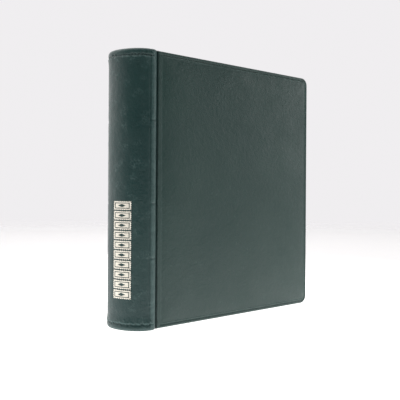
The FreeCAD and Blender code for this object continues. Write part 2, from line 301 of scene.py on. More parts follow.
# %% Fibrous materials
def fibrous(name, dark, light, scale, roughness, relief):
    """A matt sheet with flecks and a fibre relief."""
    material, tree, shader = new_material(name)
    points = object_points(tree)
    stretched = add_node(tree, "ShaderNodeMapping", None,
                         {"Vector": points, "Scale": (1.0, 1.0, 0.35)}).outputs["Vector"]
    flecks = noise_value(tree, stretched, scale, 6.0, 0.7)
    tree.links.new(mixed(tree, between(tree, flecks, 0.0, 1.0, 0.35, 0.65), dark, light),
                   shader.inputs["Base Color"])
    shader.inputs["Roughness"].default_value = roughness
    tree.links.new(bumped(tree, flecks, relief, 0.0003), shader.inputs["Normal"])
    return material


GREY_BOARD = fibrous("grey_binder_board", (0.23, 0.21, 0.18), (0.36, 0.34, 0.30), 700.0, 0.85, 0.5)
FOAM = fibrous("padding_foam", (0.62, 0.58, 0.42), (0.80, 0.76, 0.60), 500.0, 0.95, 0.9)
LINING_PAPER = fibrous("green_lining_paper", (0.012, 0.026, 0.022), (0.022, 0.042, 0.036),
                       420.0, 0.62, 0.35)
BLACK_CARD = fibrous("black_interleaf_card", (0.010, 0.010, 0.011), (0.020, 0.020, 0.022),
                     800.0, 0.78, 0.08)

# %% [markdown]
# ## Foil, metal and clear film
#
# The foil is a pigment foil: cream, nearly matt, a little rubbed where fingers hold the spine. The
# ring mechanism is nickel plate over pressed steel, with faint draw marks along it. The pocket film
# is soft clear plastic, which lets light through and shows itself mostly by its gloss.

# %% Foil, plated steel, plastics
def cream_foil():
    material, tree, shader = new_material("cream_foil")
    points = object_points(tree)
    rubbed = between(tree, noise_value(tree, points, 900.0, 5.0, 0.75), 0.0, 1.0, 0.6, 0.72)
    tree.links.new(mixed(tree, rubbed, (0.95, 0.91, 0.79), (0.78, 0.73, 0.61)),
                   shader.inputs["Base Color"])
    shader.inputs["Roughness"].default_value = 0.42
    tree.links.new(bumped(tree, noise_value(tree, points, 1500.0, 3.0), 0.15, 0.0001),
                   shader.inputs["Normal"])
    return material


def plated(name, colour, low, high, grain_scale):
    """Bright or satin metal with draw marks along the album's height."""
    material, tree, shader = new_material(name)
    points = add_node(tree, "ShaderNodeMapping", None,
                      {"Vector": object_points(tree), "Scale": (1.0, 1.0, 0.04)}).outputs["Vector"]
    marks = noise_value(tree, points, grain_scale, 4.0)
    shader.inputs["Metallic"].default_value = 1.0
    smudges = noise_value(tree, object_points(tree), 80.0, 3.0)
    tree.links.new(mixed(tree, smudges, colour, [0.82 * c for c in colour]),
                   shader.inputs["Base Color"])
    tree.links.new(between(tree, marks, low, high), shader.inputs["Roughness"])
    tree.links.new(bumped(tree, marks, 0.08, 0.0001), shader.inputs["Normal"])
    return material


def clear_film():
    material, tree, shader = new_material("clear_pocket_film")
    points = object_points(tree)
    haze = noise_value(tree, points, 30.0, 4.0)
    shader.inputs["Base Color"].default_value = (0.93, 0.95, 0.95, 1.0)
    tree.links.new(between(tree, haze, 0.04, 0.13), shader.inputs["Roughness"])
    shader.inputs["Alpha"].default_value = 0.07
    shader.inputs["IOR"].default_value = 1.5
    tree.links.new(bumped(tree, noise_value(tree, points, 55.0, 2.0), 0.12, 0.0015),
                   shader.inputs["Normal"])
    return material


def smooth_plastic(name, colour, roughness):
    material, tree, shader = new_material(name)
    points = object_points(tree)
    tone = noise_value(tree, points, 60.0, 4.0)
    tree.links.new(mixed(tree, between(tree, tone, 0.0, 1.0), colour, [0.9 * c for c in colour]),
                   shader.inputs["Base Color"])
    shader.inputs["Roughness"].default_value = roughness
    tree.links.new(bumped(tree, noise_value(tree, points, 1200.0, 3.0), 0.1, 0.0001),
                   shader.inputs["Normal"])
    return material


CREAM_FOIL = cream_foil()
NICKEL = plated("nickel_plate", (0.72, 0.70, 0.66), 0.12, 0.24, 900.0)
SPRING_STEEL = plated("spring_steel", (0.46, 0.46, 0.45), 0.28, 0.42, 1400.0)
CLEAR_FILM = clear_film()
WHITE_STRIP = smooth_plastic("white_hole_strip", (0.80, 0.80, 0.77), 0.38)
WELD_PLASTIC = smooth_plastic("milky_weld_line", (0.62, 0.64, 0.64), 0.3)

# %% [markdown]
# ## Padded covers
#
# A cover is a board with foam over it and leatherette drawn round all four edges. Rings of
# points run from the turned-in edge inside the cover, round its rim, over a flat welt and a
# raised seam, and on to the padded middle. The rings are rounded rectangles that shrink, so the
# seam follows the rounded corners by itself.

# %% Cover sizes, from the shut cover
COVER_NEAR = 1.6 * MM           # hinge line to the cover's near edge, shut
COVER_REACH = 208.0 * MM
COVER_CORNER = 8.0 * MM
OUTER_FACE = 1.3 * MM           # the outer face stands this far outside the hinge line
SKIN_DEPTH = 4.4 * MM           # outer face to the turned-in edge on the board
SEAM_INSET = 4.2 * MM
SEAM_GROOVE = 1.1 * MM          # the groove lies this far outside the seam's crest
SEAM_WIDTH = 0.6 * MM
SEAM_PUCKERS = 3.1 * MM
RIM = 1.3 * MM
RIM_DROP = 1.5 * MM
PAD_RISE = 1.0 * MM
PAD_RUN = 9.0 * MM
FACE_SINK = 0.35 * MM           # makes room under the nominal plane for seam and padding
TURN_IN_GAP = 0.25 * MM
SKIN_WALL = 0.5 * MM
COVER_HALF_WIDTH = (COVER_REACH - COVER_NEAR) / 2
LAST_RING = COVER_HALF_WIDTH - 0.02 * MM


def rounded_rectangle(inset, spacing=1.7 * MM):
    """Points and outward directions round the cover's outline, moved in by inset."""
    near, far = COVER_NEAR + inset, COVER_REACH - inset
    low, high = inset, HEIGHT - inset
    tightest = min(0.5 * MM, 0.9 * (COVER_HALF_WIDTH - inset))
    outer = max(COVER_CORNER - inset, tightest)
    inner = max(1.2 * MM - inset, tightest)
    corners = [(far - outer, low + outer, outer, -90), (far - outer, high - outer, outer, 0),
               (near + inner, high - inner, inner, 90), (near + inner, low + inner, inner, 180)]
    points = []
    corner_steps = 10
    side_steps = [int(HEIGHT / spacing), int(COVER_REACH / spacing)] * 2
    for number, (x, z, radius, start) in enumerate(corners):
        arc = [math.radians(start + 90.0 * step / corner_steps) for step in range(corner_steps + 1)]
        turn = [(x + radius * math.cos(a), z + radius * math.sin(a)) for a in arc]
        points.extend(turn)
        nx, nz, nradius, nstart = corners[(number + 1) % 4]
        a = math.radians(nstart)
        end = (nx + nradius * math.cos(a), nz + nradius * math.sin(a))
        steps = side_steps[number]
        points.extend((turn[-1][0] + (end[0] - turn[-1][0]) * step / steps,
                       turn[-1][1] + (end[1] - turn[-1][1]) * step / steps)
                      for step in range(1, steps))
    return np.array(points)


def smoothstep(value):
    value = min(1.0, max(0.0, value))
    return value * value * (3.0 - 2.0 * value)


def cover_rise(inset, x, z):
    """Height of the outer face above its nominal plane: welt, seam crest, soft padding."""
    rim = min(inset / RIM, 1.0)
    round_over = -RIM_DROP * (1.0 - math.sqrt(max(0.0, 1.0 - (1.0 - rim) ** 2)))
    pucker = 0.5 + 0.5 * wobble(x, z, SEAM_PUCKERS, 2.0)
    nearest_outer_edge = min(z, HEIGHT - z, COVER_REACH - x)
    seamed = smoothstep((x - COVER_NEAR - nearest_outer_edge) / (3.0 * MM) + 0.6)
    crest = (0.18 + 0.20 * pucker) * MM * bump(inset, SEAM_INSET, SEAM_WIDTH)
    groove = (0.34 + 0.30 * pucker) * MM * bump(inset, SEAM_INSET - SEAM_GROOVE, SEAM_WIDTH)
    padding = PAD_RISE * (1.0 - math.exp(-max(0.0, inset - SEAM_INSET) / PAD_RUN))
    waves = 0.20 * MM * wobble(x, z, 42.0 * MM, 5.0) + 0.07 * MM * wobble(x, z, 13.0 * MM, 9.0)
    dimples = 0.035 * MM * wobble(x, z, 4.0 * MM, 13.0)
    soft = (waves + dimples) * min(1.0, inset / (8.0 * MM))
    return round_over + seamed * (crest - groove) + padding + soft - FACE_SINK


def cover_painted_highlight(inset, x, z):
    """Painted highlight on the seam's crest, the rim and the fore-edge, most near the corners, and a
    painted haze of light towards the fore-edge.
    """
    rim = bump(inset, 0.6 * MM, 0.8 * MM)
    crest = bump(inset, SEAM_INSET, 0.7 * MM) * (0.5 + 0.6 * wobble(x, z, SEAM_PUCKERS, 2.0))
    # Painted light: the cover grows lighter towards the fore-edge.
    haze = 0.2 * smoothstep((x - 0.5 * COVER_REACH) / (0.5 * COVER_REACH))
    corner = 0.5 + bump(min(z, HEIGHT - z), 12.0 * MM, 24.0 * MM)
    # Painted highlight along the fore-edge, stronger near the top and bottom corners.
    fore_edge_painted_highlight = 0.35 * corner * bump(COVER_REACH - x, 1.5 * MM, 5.0 * MM)
    return 0.5 * rim + 0.6 * max(0.0, crest) + haze + fore_edge_painted_highlight


def cover_skin_rows():
    """Rings of points from the turned-in edge inside, round the rim, to the padded middle."""
    rows = []
    inside = -OUTER_FACE + SKIN_DEPTH + TURN_IN_GAP
    for inset in (11.0, 6.0, 2.0, 0.8):
        ring = rounded_rectangle(inset * MM)
        rows.append([(x, inside, z, 0.0) for x, z in ring])
    # Round the turned edge the points carry a small lighter amount: part wear, part painted
    # highlight.
    ring = rounded_rectangle(TURN_IN_GAP)
    rows.append([(x, inside - TURN_IN_GAP, z, 0.3) for x, z in ring])
    ring = rounded_rectangle(0.0)
    for depth in (0.8, 2.0, 2.9):
        rows.append([(x, inside - depth * MM, z, 0.2) for x, z in ring])
    insets = spread((0.08 * MM, 0), (1.3 * MM, 6), (2.6 * MM, 3), (5.6 * MM, 14),
                    (14.0 * MM, 8), (LAST_RING, 24))
    for inset in insets:
        ring = rounded_rectangle(inset)
        rows.append([(x, -OUTER_FACE - cover_rise(inset, x, z), z, cover_painted_highlight(inset, x, z))
                     for x, z in ring])
    return np.array(rows)


def close_middle(mesh):
    """Merge the two sides of the slit that the innermost ring leaves."""
    work = bmesh.new()
    work.from_mesh(mesh)
    bmesh.ops.remove_doubles(work, verts=work.verts, dist=0.06 * MM)
    bmesh.ops.recalc_face_normals(work, faces=work.faces)
    work.to_mesh(mesh)
    work.free()


def placed_at_cover(rows, side):
    """Rows drawn from the hinge line, moved to the given side of the shut album."""
    rows[..., 0] += HINGE_X
    rows[..., 1] += HINGE["front"].y
    if side == "back":
        rows[..., 1] *= -1.0
    return rows


def make_cover_skin(side):
    rows = placed_at_cover(cover_skin_rows(), side)
    mesh = grid_mesh(side + "_cover_leatherette", rows[..., :3], loop_columns=True)
    set_rub_and_highlight(mesh, rows[..., 3])
    close_middle(mesh)
    mesh.transform(standing(side))
    return new_object(side + "_cover_leatherette", mesh)


def outward(piece, toward):
    """Flip the piece if its outermost face doesn't point towards the given direction."""
    mesh = piece.data
    outermost = max(mesh.polygons, key=lambda face: face.center.dot(toward))
    if outermost.normal.dot(toward) < 0:
        mesh.flip_normals()


for side in ("front", "back"):
    skin = make_cover_skin(side)
    outside = standing(side).to_3x3() @ Vector((0.0, SIDE[side], 0.0))
    outward(skin, outside)
    thicken(skin, SKIN_WALL)
    dress(skin, COVER_LEATHER, side + "_cover")
    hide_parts(side + "_cover_skin")
    print(skin.name, len(skin.data.polygons), "faces")

# %% [markdown]
# ## The foam under the leatherette
#
# The foam shows only where a cover's inside is opened up, but it is what makes the cover soft. It
# is a thin crowned slab, a little smaller than the board, and follows the skin just above it.

# %% Foam slabs
FOAM_TOP = 0.75 * MM
FOAM_BOTTOM = 2.2 * MM
FOAM_SPACING = 4.0 * MM
FOAM_SIDE = ((1.6, 2.2), (1.3, 1.9), (1.3, 1.6), (1.7, 1.3))     # inset and depth, millimetres


def foam_rows():
    """Rings from the middle of the flat back, round the side, to the crowned middle."""
    back_ring = rounded_rectangle(LAST_RING, FOAM_SPACING)
    rows = [[(x, -OUTER_FACE + FOAM_BOTTOM, z) for x, z in back_ring]]
    for inset, depth in FOAM_SIDE:
        ring = rounded_rectangle(inset * MM, FOAM_SPACING)
        rows.append([(x, -OUTER_FACE + depth * MM, z) for x, z in ring])
    for inset in spread((3.0 * MM, 0), (8.0 * MM, 5), (30.0 * MM, 6), (LAST_RING, 6)):
        ring = rounded_rectangle(inset, FOAM_SPACING)
        rows.append([(x, -OUTER_FACE + FOAM_TOP - cover_rise(inset, x, z), z) for x, z in ring])
    return np.array(rows)


def make_foam(side):
    rows = placed_at_cover(foam_rows(), side)
    mesh = grid_mesh(side + "_foam_slab", rows, loop_columns=True)
    close_middle(mesh)
    mesh.transform(standing(side))
    return new_object(side + "_foam_slab", mesh)


for side in ("front", "back"):
    foam = dress(make_foam(side), FOAM, side + "_cover")
    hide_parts(side + "_cover_foam")
    print(foam.name, len(foam.data.polygons), "faces")

# %% [markdown]
# ## The half-round spine
#
# The spine is a hard half-tube that the leatherette is glued over. The two upright edges carry a
# rolled bead, where the material doubles back into the hinge groove, and at the top and bottom the
# skin is gathered over the lip and glued inside the open tube, which leaves a puckered crease. The
# profile is sampled by its own length, so beads, creases and wrinkles are placed in millimetres.

# %% Spine profile
SPINE_EDGE_X = -1.6 * MM
SPINE_FLAT = 2.0 * MM
SPINE_BULGE = HINGE_X - CROWN_X + SPINE_EDGE_X - SPINE_FLAT
LIP_THICK = 3.1 * MM
LIP_RADIUS = LIP_THICK / 2
LIP_TURN_IN = 12.0 * MM
FINE_EDGE = 9.0 * MM            # columns lie closer together where the bead is


def spine_outline(samples=1500):
    """Points of the half-round from the front edge round to the back edge, hinge line at x = 0."""
    centre = SPINE_EDGE_X - SPINE_FLAT
    turn = np.linspace(-math.pi / 2, math.pi / 2, samples)
    x = centre - SPINE_BULGE * np.cos(turn)
    y = HALF_SPINE * np.sin(turn)
    x = np.concatenate([[SPINE_EDGE_X], x, [SPINE_EDGE_X]])
    y = np.concatenate([[-HALF_SPINE], y, [HALF_SPINE]])
    return x, y


def spine_columns():
    """Point, outward direction and length along the profile for every column."""
    x, y = spine_outline()
    length = np.concatenate([[0.0], np.cumsum(np.hypot(np.diff(x), np.diff(y)))])
    total = length[-1]
    at = spread((0.0, 0), (FINE_EDGE, 22), (total - FINE_EDGE, 78), (total, 22))
    point = np.stack([np.interp(at, length, x), np.interp(at, length, y)], axis=1)
    step = 0.3 * MM
    ahead = np.stack([np.interp(at + step, length, x), np.interp(at + step, length, y)], axis=1)
    behind = np.stack([np.interp(at - step, length, x), np.interp(at - step, length, y)], axis=1)
    along = ahead - behind
    normal = np.stack([-along[:, 1], along[:, 0]], axis=1)
    normal /= np.linalg.norm(normal, axis=1)[:, None]
    return point, normal, at, total


SPINE_POINT, SPINE_NORMAL, SPINE_AT, SPINE_LENGTH = spine_columns()
print("leatherette across the spine: %.1f mm" % (SPINE_LENGTH / MM))

# %% Beads, creases and wrinkles of the spine
FOIL_LOW, FOIL_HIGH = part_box("spine_foil_ornament")
BEAD_NICKS = (64.0 * MM, 113.0 * MM, 187.0 * MM)
BEAD_VALLEY = 8.0 * MM          # a shallow valley where the bead meets the half-round
CREASE_HEIGHT = 6.2 * MM
CREASE_WANDER = 1.3 * MM
CREASE_TO_CREST = 0.9 * MM
PUCKER_WIDTH = 1.5 * MM
BEAD_HEIGHT = 1.1 * MM
BEAD_CENTRE = 4.0 * MM          # from the flat side of the spine, clear of an opened cover
BEAD_HALF = 3.3 * MM
DEEPEST = -0.26 * MM            # the skin never sinks into the shell


def bead(edge_distance, z):
    """The rolled bead beside the groove, with a nick here and there."""
    across = (edge_distance - BEAD_CENTRE) / BEAD_HALF
    swell = max(0.0, 1.0 - across * across) ** 0.8
    for nick in BEAD_NICKS:
        swell *= 1.0 - 0.7 * bump(z, nick, 0.9 * MM)
    worn = 1.0 + 0.12 * wobble(edge_distance, z, 7.0 * MM, 3.0)
    return BEAD_HEIGHT * swell * worn - 0.22 * MM * bump(edge_distance, BEAD_VALLEY, 0.9 * MM)


def gathered_end(along, z, front_side):
    """Relief of the crease and its puckers near the top and bottom of the spine, and a painted
    highlight on the crease crests and over the lip.
    """
    end = min(z, HEIGHT - z)
    seed = 11.0 if z < HEIGHT / 2 else 17.0
    crease = CREASE_HEIGHT + CREASE_WANDER * wobble(along, 0.0, 2.6 * MM, seed)
    strength = 1.0 if front_side else 0.6
    fold = max(-1.0, min(1.0, 2.2 * wobble(along, 0.3 * z, PUCKER_WIDTH, seed)))
    crest = strength * (0.6 + 0.4 * fold) * bump(end, crease + CREASE_TO_CREST, 0.7 * MM)
    rays = 0.3 * MM * strength * fold * math.exp(-abs(end - crease) / (3.0 * MM))
    depth = 1.0 * MM * (1.0 - 0.6 * fold) * bump(end, crease - 0.5 * MM, 0.7 * MM)
    gathered = 0.5 * MM * bump(end, 7.0 * MM, 4.0 * MM) + 0.4 * MM * bump(end, 2.6 * MM, 1.4 * MM)
    # Painted highlight: the crease crests and the band over the lip are painted lighter.
    rub_and_highlight = 2.2 * crest + 0.9 * bump(end, 1.0 * MM, 1.4 * MM)
    return rays * min(1.0, end / crease) + 0.5 * MM * crest + gathered - depth, rub_and_highlight


def ridge(value, width):
    """Zero almost everywhere, and one where the value passes through zero."""
    return max(0.0, 1.0 - abs(value) / width)


def wrinkles(along, z, y):
    """Relief and rub of short handling wrinkles, pressed out where the foil was stamped."""
    soft = 0.05 * MM * wobble(along, 0.45 * z, 7.5 * MM, 21.0)
    where = smoothstep(3.0 * wobble(along, z, 9.0 * MM, 33.0) - 0.1)
    creased = ridge(wobble(along, z, 2.8 * MM, 31.0), 0.13) * where
    crossing = ridge(wobble(0.5 * along, z, 2.2 * MM, 37.0), 0.12) * where
    across = max(0.0, abs(y) - FOIL_HIGH.y) / (2.0 * MM)
    above = max(0.0, z - FOIL_HIGH.z, FOIL_LOW.z - z) / (3.0 * MM)
    pressed = math.exp(-(across * across + above * above))
    lines = creased + 0.7 * crossing
    relief = (soft + 0.10 * MM * lines) * (1.0 - pressed) - 0.08 * MM * pressed
    return relief, 0.55 * lines * (1.0 - pressed)


def spine_relief(column, z):
    """How far the skin stands out at this column and height, and how much lighter it is painted: wear
    and painted highlight along the bead, painted highlight at the ends, wear on the wrinkles.
    """
    at = SPINE_AT[column]
    edge_distance = min(at, SPINE_LENGTH - at)
    y = SPINE_POINT[column, 1]
    beaded = bead(edge_distance, z)
    away = min(1.0, max(0.0, (edge_distance - BEAD_CENTRE) / (3.0 * MM)))
    end_relief, end_painted_highlight = gathered_end(at, z, y < 0.0)
    wrinkle_relief, wrinkle_rub = wrinkles(at, z, y)
    relief = max(DEEPEST, beaded + away * (end_relief + wrinkle_relief))
    # The bead is painted lighter, part wear and part painted highlight; the ends add their painted
    # highlight.
    rub_and_highlight = 1.5 * max(0.0, beaded) / BEAD_HEIGHT + away * (end_painted_highlight + wrinkle_rub)
    return relief, rub_and_highlight


# %% Spine skin: over the lip at both ends and tucked in at both edges
TUCK = ((-1.10 * MM, 22.75 * MM), (-1.15 * MM, 23.3 * MM), (-1.35 * MM, 23.75 * MM))
TUCK_INNER = (-3.4 * MM, 20.9 * MM)
TUCK_END_GAP = 0.4 * MM
FINE_END = 12.0 * MM            # rows lie closer together where the ends are gathered


def spine_row(z, inward, relief_scale=1.0):
    """One row across the spine: x, y, z and how much lighter it is painted (wear and painted
    highlight), moved inward by a share of the lip.
    """
    tuck_z = min(max(z, TUCK_END_GAP), HEIGHT - TUCK_END_GAP)
    tucked = [(x + inward * (TUCK_INNER[0] - x), y + inward * (TUCK_INNER[1] - y))
              for x, y in TUCK]
    points = [(x, -y, tuck_z, 0.0) for x, y in tucked]
    for column in range(len(SPINE_AT)):
        relief, rub_and_highlight = spine_relief(column, z)
        shift = relief_scale * relief - inward * LIP_THICK
        x = SPINE_POINT[column, 0] + shift * SPINE_NORMAL[column, 0]
        y = SPINE_POINT[column, 1] + shift * SPINE_NORMAL[column, 1]
        points.append((x, y, z, rub_and_highlight * relief_scale))
    points += [(x, y, tuck_z, 0.0) for x, y in reversed(tucked)]
    return points


def spine_rows():
    """Rows from inside the bottom lip, over it, up the spine and over the top lip."""
    lip = []
    for z in (LIP_TURN_IN, 8.0 * MM, 5.0 * MM, 3.0 * MM):
        lip.append((z, 1.0, 0.0))
    steps = 7
    for step in range(steps + 1):
        turn = math.pi * step / steps
        lip.append((LIP_RADIUS * (1.0 - math.sin(turn)), 0.5 + 0.5 * math.cos(turn), step / steps))
    above_lip = LIP_RADIUS + 0.35 * MM
    heights = spread((above_lip, 0), (FINE_END, 26), (HEIGHT - FINE_END, 285),
                     (HEIGHT - above_lip, 26))
    rows = [spine_row(z, inward, scale) for z, inward, scale in lip]
    rows += [spine_row(z, 0.0) for z in heights]
    rows += [spine_row(HEIGHT - z, inward, scale) for z, inward, scale in reversed(lip)]
    return np.array(rows)


def make_spine_skin():
    rows = spine_rows()
    rows[..., 0] += HINGE_X
    piece = new_object("spine_leatherette", grid_mesh("spine_leatherette", rows[..., :3]))
    set_rub_and_highlight(piece.data, rows[..., 3])
    crown = min(piece.data.polygons, key=lambda face: face.center.x)
    if crown.normal.x > 0:
        piece.data.flip_normals()
    thicken(piece, SKIN_WALL)
    return dress(piece, SPINE_LEATHER, "spine")


spine_skin = make_spine_skin()
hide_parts("spine_skin")
print(spine_skin.name, len(spine_skin.data.polygons), "faces")

# %% [markdown]
# ## Hinge strips
#
# Between the spine and each cover runs a narrow strip of bare leatherette, and that strip is the
# whole hinge. The strip is drawn straight across, as when the album is shut, and then bent: its
# spine side stays, its cover side turns as far as the cover stands open, and a smooth blend shares
# the turn out between them.

# %% Hinge strips
STRIP_HALF = 1.65 * MM
STRIP_SINK = 0.9 * MM
STRIP_RISE = 1.4 * MM
STRIP_WALL = 0.6 * MM
STRIP_END_GAP = 0.1 * MM
BLEND_HALF = 1.1 * MM


def hinge_strip(side):
    """One bare strip of leatherette, bent as far as its cover stands open."""
    columns = np.linspace(-1.0, 1.0, 25)
    heights = np.linspace(STRIP_END_GAP, HEIGHT - STRIP_END_GAP, 150)
    full_turn = SIDE[side] * SPLAY
    rows = []
    for z in heights:
        row = []
        for q in columns:
            x = STRIP_HALF * q
            dip = STRIP_RISE * q * q - STRIP_SINK + 0.05 * MM * wobble(x, z, 3.0 * MM, 41.0)
            turn = full_turn * smoothstep((x + BLEND_HALF) / (2.0 * BLEND_HALF))
            point = Matrix.Rotation(turn, 2) @ Vector((x, SIDE[side] * dip))
            row.append((HINGE[side].x + point.x, HINGE[side].y + point.y, z))
        rows.append(row)
    piece = new_object(side + "_hinge_strip", grid_mesh(side + "_hinge_strip", rows))
    middle = piece.data.polygons[len(piece.data.polygons) // 2]
    if middle.normal.y * SIDE[side] < 0:
        piece.data.flip_normals()
    thicken(piece, STRIP_WALL, 0.0)
    # The darker copy paints the groove's shade, with some dirt, into the strip.
    dress(piece, HINGE_DIRT_AND_PAINTED_SHADE_LEATHER)
    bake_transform(piece)
    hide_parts(side + "_hinge_web")
    return piece


for side in ("front", "back"):
    strip = hinge_strip(side)
    print(strip.name, len(strip.data.polygons), "faces")

# %% [markdown]
# ## The stamped row
#
# Ten small postage-stamp shapes are foiled down the spine. They are all the same, so one stamp is
# drawn flat, with its perforated edge, a fine inner line and a lozenge in the middle, and Geometry
# Nodes repeat it along a line and wrap the row onto the half-round.

# %% One stamp shape, lying flat
STAMP_COUNT = 10
STAMP_PITCH = (FOIL_HIGH.z - FOIL_LOW.z) / STAMP_COUNT
STAMP_HALF = (9.4 * MM, STAMP_PITCH / 2 - 0.5 * MM)
PERFORATIONS = (9, 4)
FRAME_BORDER = (1.5 * MM, 1.3 * MM)      # across the row, along it
FRAME_TO_PANEL = (2.3 * MM, 1.95 * MM)
LOZENGE = (4.2 * MM, 1.45 * MM)
FOIL_WALL = 0.1 * MM
CROWN_RADIUS = HALF_SPINE ** 2 / SPINE_BULGE


def perforated_outline():
    """The stamp's edge: small half-round bites between teeth, anticlockwise from a corner."""
    outline = []
    width, height = STAMP_HALF
    sides = [((-width, -height), (1, 0), 2 * width, PERFORATIONS[0]),
             ((width, -height), (0, 1), 2 * height, PERFORATIONS[1]),
             ((width, height), (-1, 0), 2 * width, PERFORATIONS[0]),
             ((-width, height), (0, -1), 2 * height, PERFORATIONS[1])]
    for (x, z), (dx, dz), length, count in sides:
        tooth = length / (2 * count)
        for bite in range(count):
            middle = (bite + 0.5) * length / count
            outline.append((x + dx * (middle - 0.9 * tooth), z + dz * (middle - 0.9 * tooth)))
            for step in range(5):
                angle = math.pi * step / 4
                reach = middle - 0.5 * tooth * math.cos(angle)
                bite_in = 0.55 * tooth * math.sin(angle)
                outline.append((x + dx * reach - dz * bite_in, z + dz * reach + dx * bite_in))
    return outline


def toward_shape(outline, half_x, half_z, lozenge=False):
    """The outline's points moved along rays from the middle onto a rectangle or a lozenge."""
    shape = []
    for x, z in outline:
        if lozenge:
            share = 1.0 / (abs(x) / half_x + abs(z) / half_z)
        else:
            share = 1.0 / max(abs(x) / half_x, abs(z) / half_z)
        shape.append((x * share, z * share))
    return shape


def stamp_mesh():
    """A frame with a perforated edge and a panel with a lozenge hole, apart by a fine line."""
    outline = perforated_outline()
    width, height = STAMP_HALF
    frame_inner = toward_shape(outline, width - FRAME_BORDER[0], height - FRAME_BORDER[1])
    panel_outer = toward_shape(outline, width - FRAME_TO_PANEL[0], height - FRAME_TO_PANEL[1])
    lozenge = toward_shape(outline, *LOZENGE, lozenge=True)
    frame_rows = [outline, frame_inner]
    shares = np.linspace(0.0, 1.0, 6)
    panel_rows = [np.array(panel_outer) * (1 - share) + np.array(lozenge) * share for share in shares]
    work = bmesh.new()
    for rows in (frame_rows, panel_rows):
        rows = np.array(rows)
        flat = np.stack([rows[..., 0], np.zeros(rows.shape[:2]), rows[..., 1]], axis=-1)
        part = grid_mesh("stamp_part", flat, loop_columns=True)
        work.from_mesh(part)
        bpy.data.meshes.remove(part)
    bmesh.ops.recalc_face_normals(work, faces=work.faces)
    mesh = bpy.data.meshes.new("foil_stamp_row")
    work.to_mesh(mesh)
    work.free()
    if mesh.polygons[0].normal.y > 0:
        mesh.flip_normals()
    return mesh


# %% Geometry Nodes: repeat the stamp and wrap the row round the spine
def group_input(tree, name, kind, default=None):
    """A named input on the outside of a Geometry Nodes tree."""
    socket = tree.interface.new_socket(name, in_out="INPUT", socket_type=kind)
    if default is not None:
        socket.default_value = default
    return socket


def geometry_tree(name):
    """An empty Geometry Nodes tree with a geometry input and output."""
    tree = bpy.data.node_groups.new(name, "GeometryNodeTree")
    group_input(tree, "Geometry", "NodeSocketGeometry")
    tree.interface.new_socket("Geometry", in_out="OUTPUT", socket_type="NodeSocketGeometry")
    return tree, tree.nodes.new("NodeGroupInput"), tree.nodes.new("NodeGroupOutput")


def maths(tree, operation, first, second=None):
    inputs = {0: first} if second is None else {0: first, 1: second}
    return add_node(tree, "ShaderNodeMath", {"operation": operation}, inputs).outputs[0]


def stamped_row_tree():
    """Copies along a line, real geometry, wrapped round the spine's axis and painted."""
    tree, given, result = geometry_tree("stamped_row")
    group_input(tree, "Count", "NodeSocketInt", STAMP_COUNT)
    group_input(tree, "Pitch", "NodeSocketFloat", STAMP_PITCH)
    group_input(tree, "Foot", "NodeSocketFloat", FOIL_LOW.z + STAMP_PITCH / 2)
    group_input(tree, "Radius", "NodeSocketFloat", CROWN_RADIUS)
    group_input(tree, "Crown", "NodeSocketFloat", CROWN_X)
    group_input(tree, "Foil", "NodeSocketMaterial")
    get = given.outputs
    foot = add_node(tree, "ShaderNodeCombineXYZ", None, {"Z": get["Foot"]}).outputs[0]
    step = add_node(tree, "ShaderNodeCombineXYZ", None, {"Z": get["Pitch"]}).outputs[0]
    line = add_node(tree, "GeometryNodeMeshLine", None,
                    {"Count": get["Count"], "Start Location": foot, "Offset": step}).outputs[0]
    copies = add_node(tree, "GeometryNodeInstanceOnPoints", None,
                      {"Points": line, "Instance": get["Geometry"]}).outputs[0]
    real = add_node(tree, "GeometryNodeRealizeInstances", None, {"Geometry": copies}).outputs[0]
    place = add_node(tree, "GeometryNodeInputPosition").outputs[0]
    parts = add_node(tree, "ShaderNodeSeparateXYZ", None, {0: place}).outputs
    angle = maths(tree, "DIVIDE", parts["X"], get["Radius"])
    reach = maths(tree, "SUBTRACT", get["Radius"], parts["Y"])
    across = maths(tree, "MULTIPLY", reach, maths(tree, "SINE", angle))
    inward = maths(tree, "MULTIPLY", reach, maths(tree, "COSINE", angle))
    centre = maths(tree, "ADD", get["Crown"], get["Radius"])
    depth = maths(tree, "SUBTRACT", centre, inward)
    wrapped = add_node(tree, "ShaderNodeCombineXYZ", None,
                       {"X": depth, "Y": maths(tree, "MULTIPLY", across, -1.0),
                        "Z": parts["Z"]}).outputs[0]
    moved = add_node(tree, "GeometryNodeSetPosition", None,
                     {"Geometry": real, "Position": wrapped}).outputs[0]
    painted = add_node(tree, "GeometryNodeSetMaterial", None,
                       {"Geometry": moved, "Material": get["Foil"]}).outputs[0]
    tree.links.new(painted, result.inputs[0])
    return tree


def set_inputs(modifier, values):
    """Give a Geometry Nodes modifier its inputs by the sockets' identifiers."""
    sockets = {item.name: item.identifier for item in modifier.node_group.interface.items_tree
               if item.item_type == "SOCKET" and item.in_out == "INPUT"}
    for name, value in values.items():
        modifier[sockets[name]] = value


def make_stamped_row():
    piece = new_object("foil_stamp_row", stamp_mesh())
    modifier = piece.modifiers.new("row", "NODES")
    modifier.node_group = stamped_row_tree()
    set_inputs(modifier, {"Count": STAMP_COUNT, "Pitch": STAMP_PITCH,
                          "Foot": FOIL_LOW.z + STAMP_PITCH / 2, "Radius": CROWN_RADIUS,
                          "Crown": CROWN_X, "Foil": CREAM_FOIL})
    bake_modifiers(piece)
    thicken(piece, FOIL_WALL, 1.0)
    return dress(piece, CREAM_FOIL, "spine")


stamped_row = make_stamped_row()
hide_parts("spine_foil_ornament")
print(stamped_row.name, len(stamped_row.data.polygons), "faces in", STAMP_COUNT, "stamps")

# %% [markdown]
# ## Ring mechanism
#
# Canopy, blades, rings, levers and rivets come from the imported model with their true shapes. What
# metal pressings need for the eye is a small rounded edge that catches the light. Each piece is
# copied, its loose triangles are merged and its flat faces dissolved, and then its edges are
# rounded. The polished copy stands for the original.

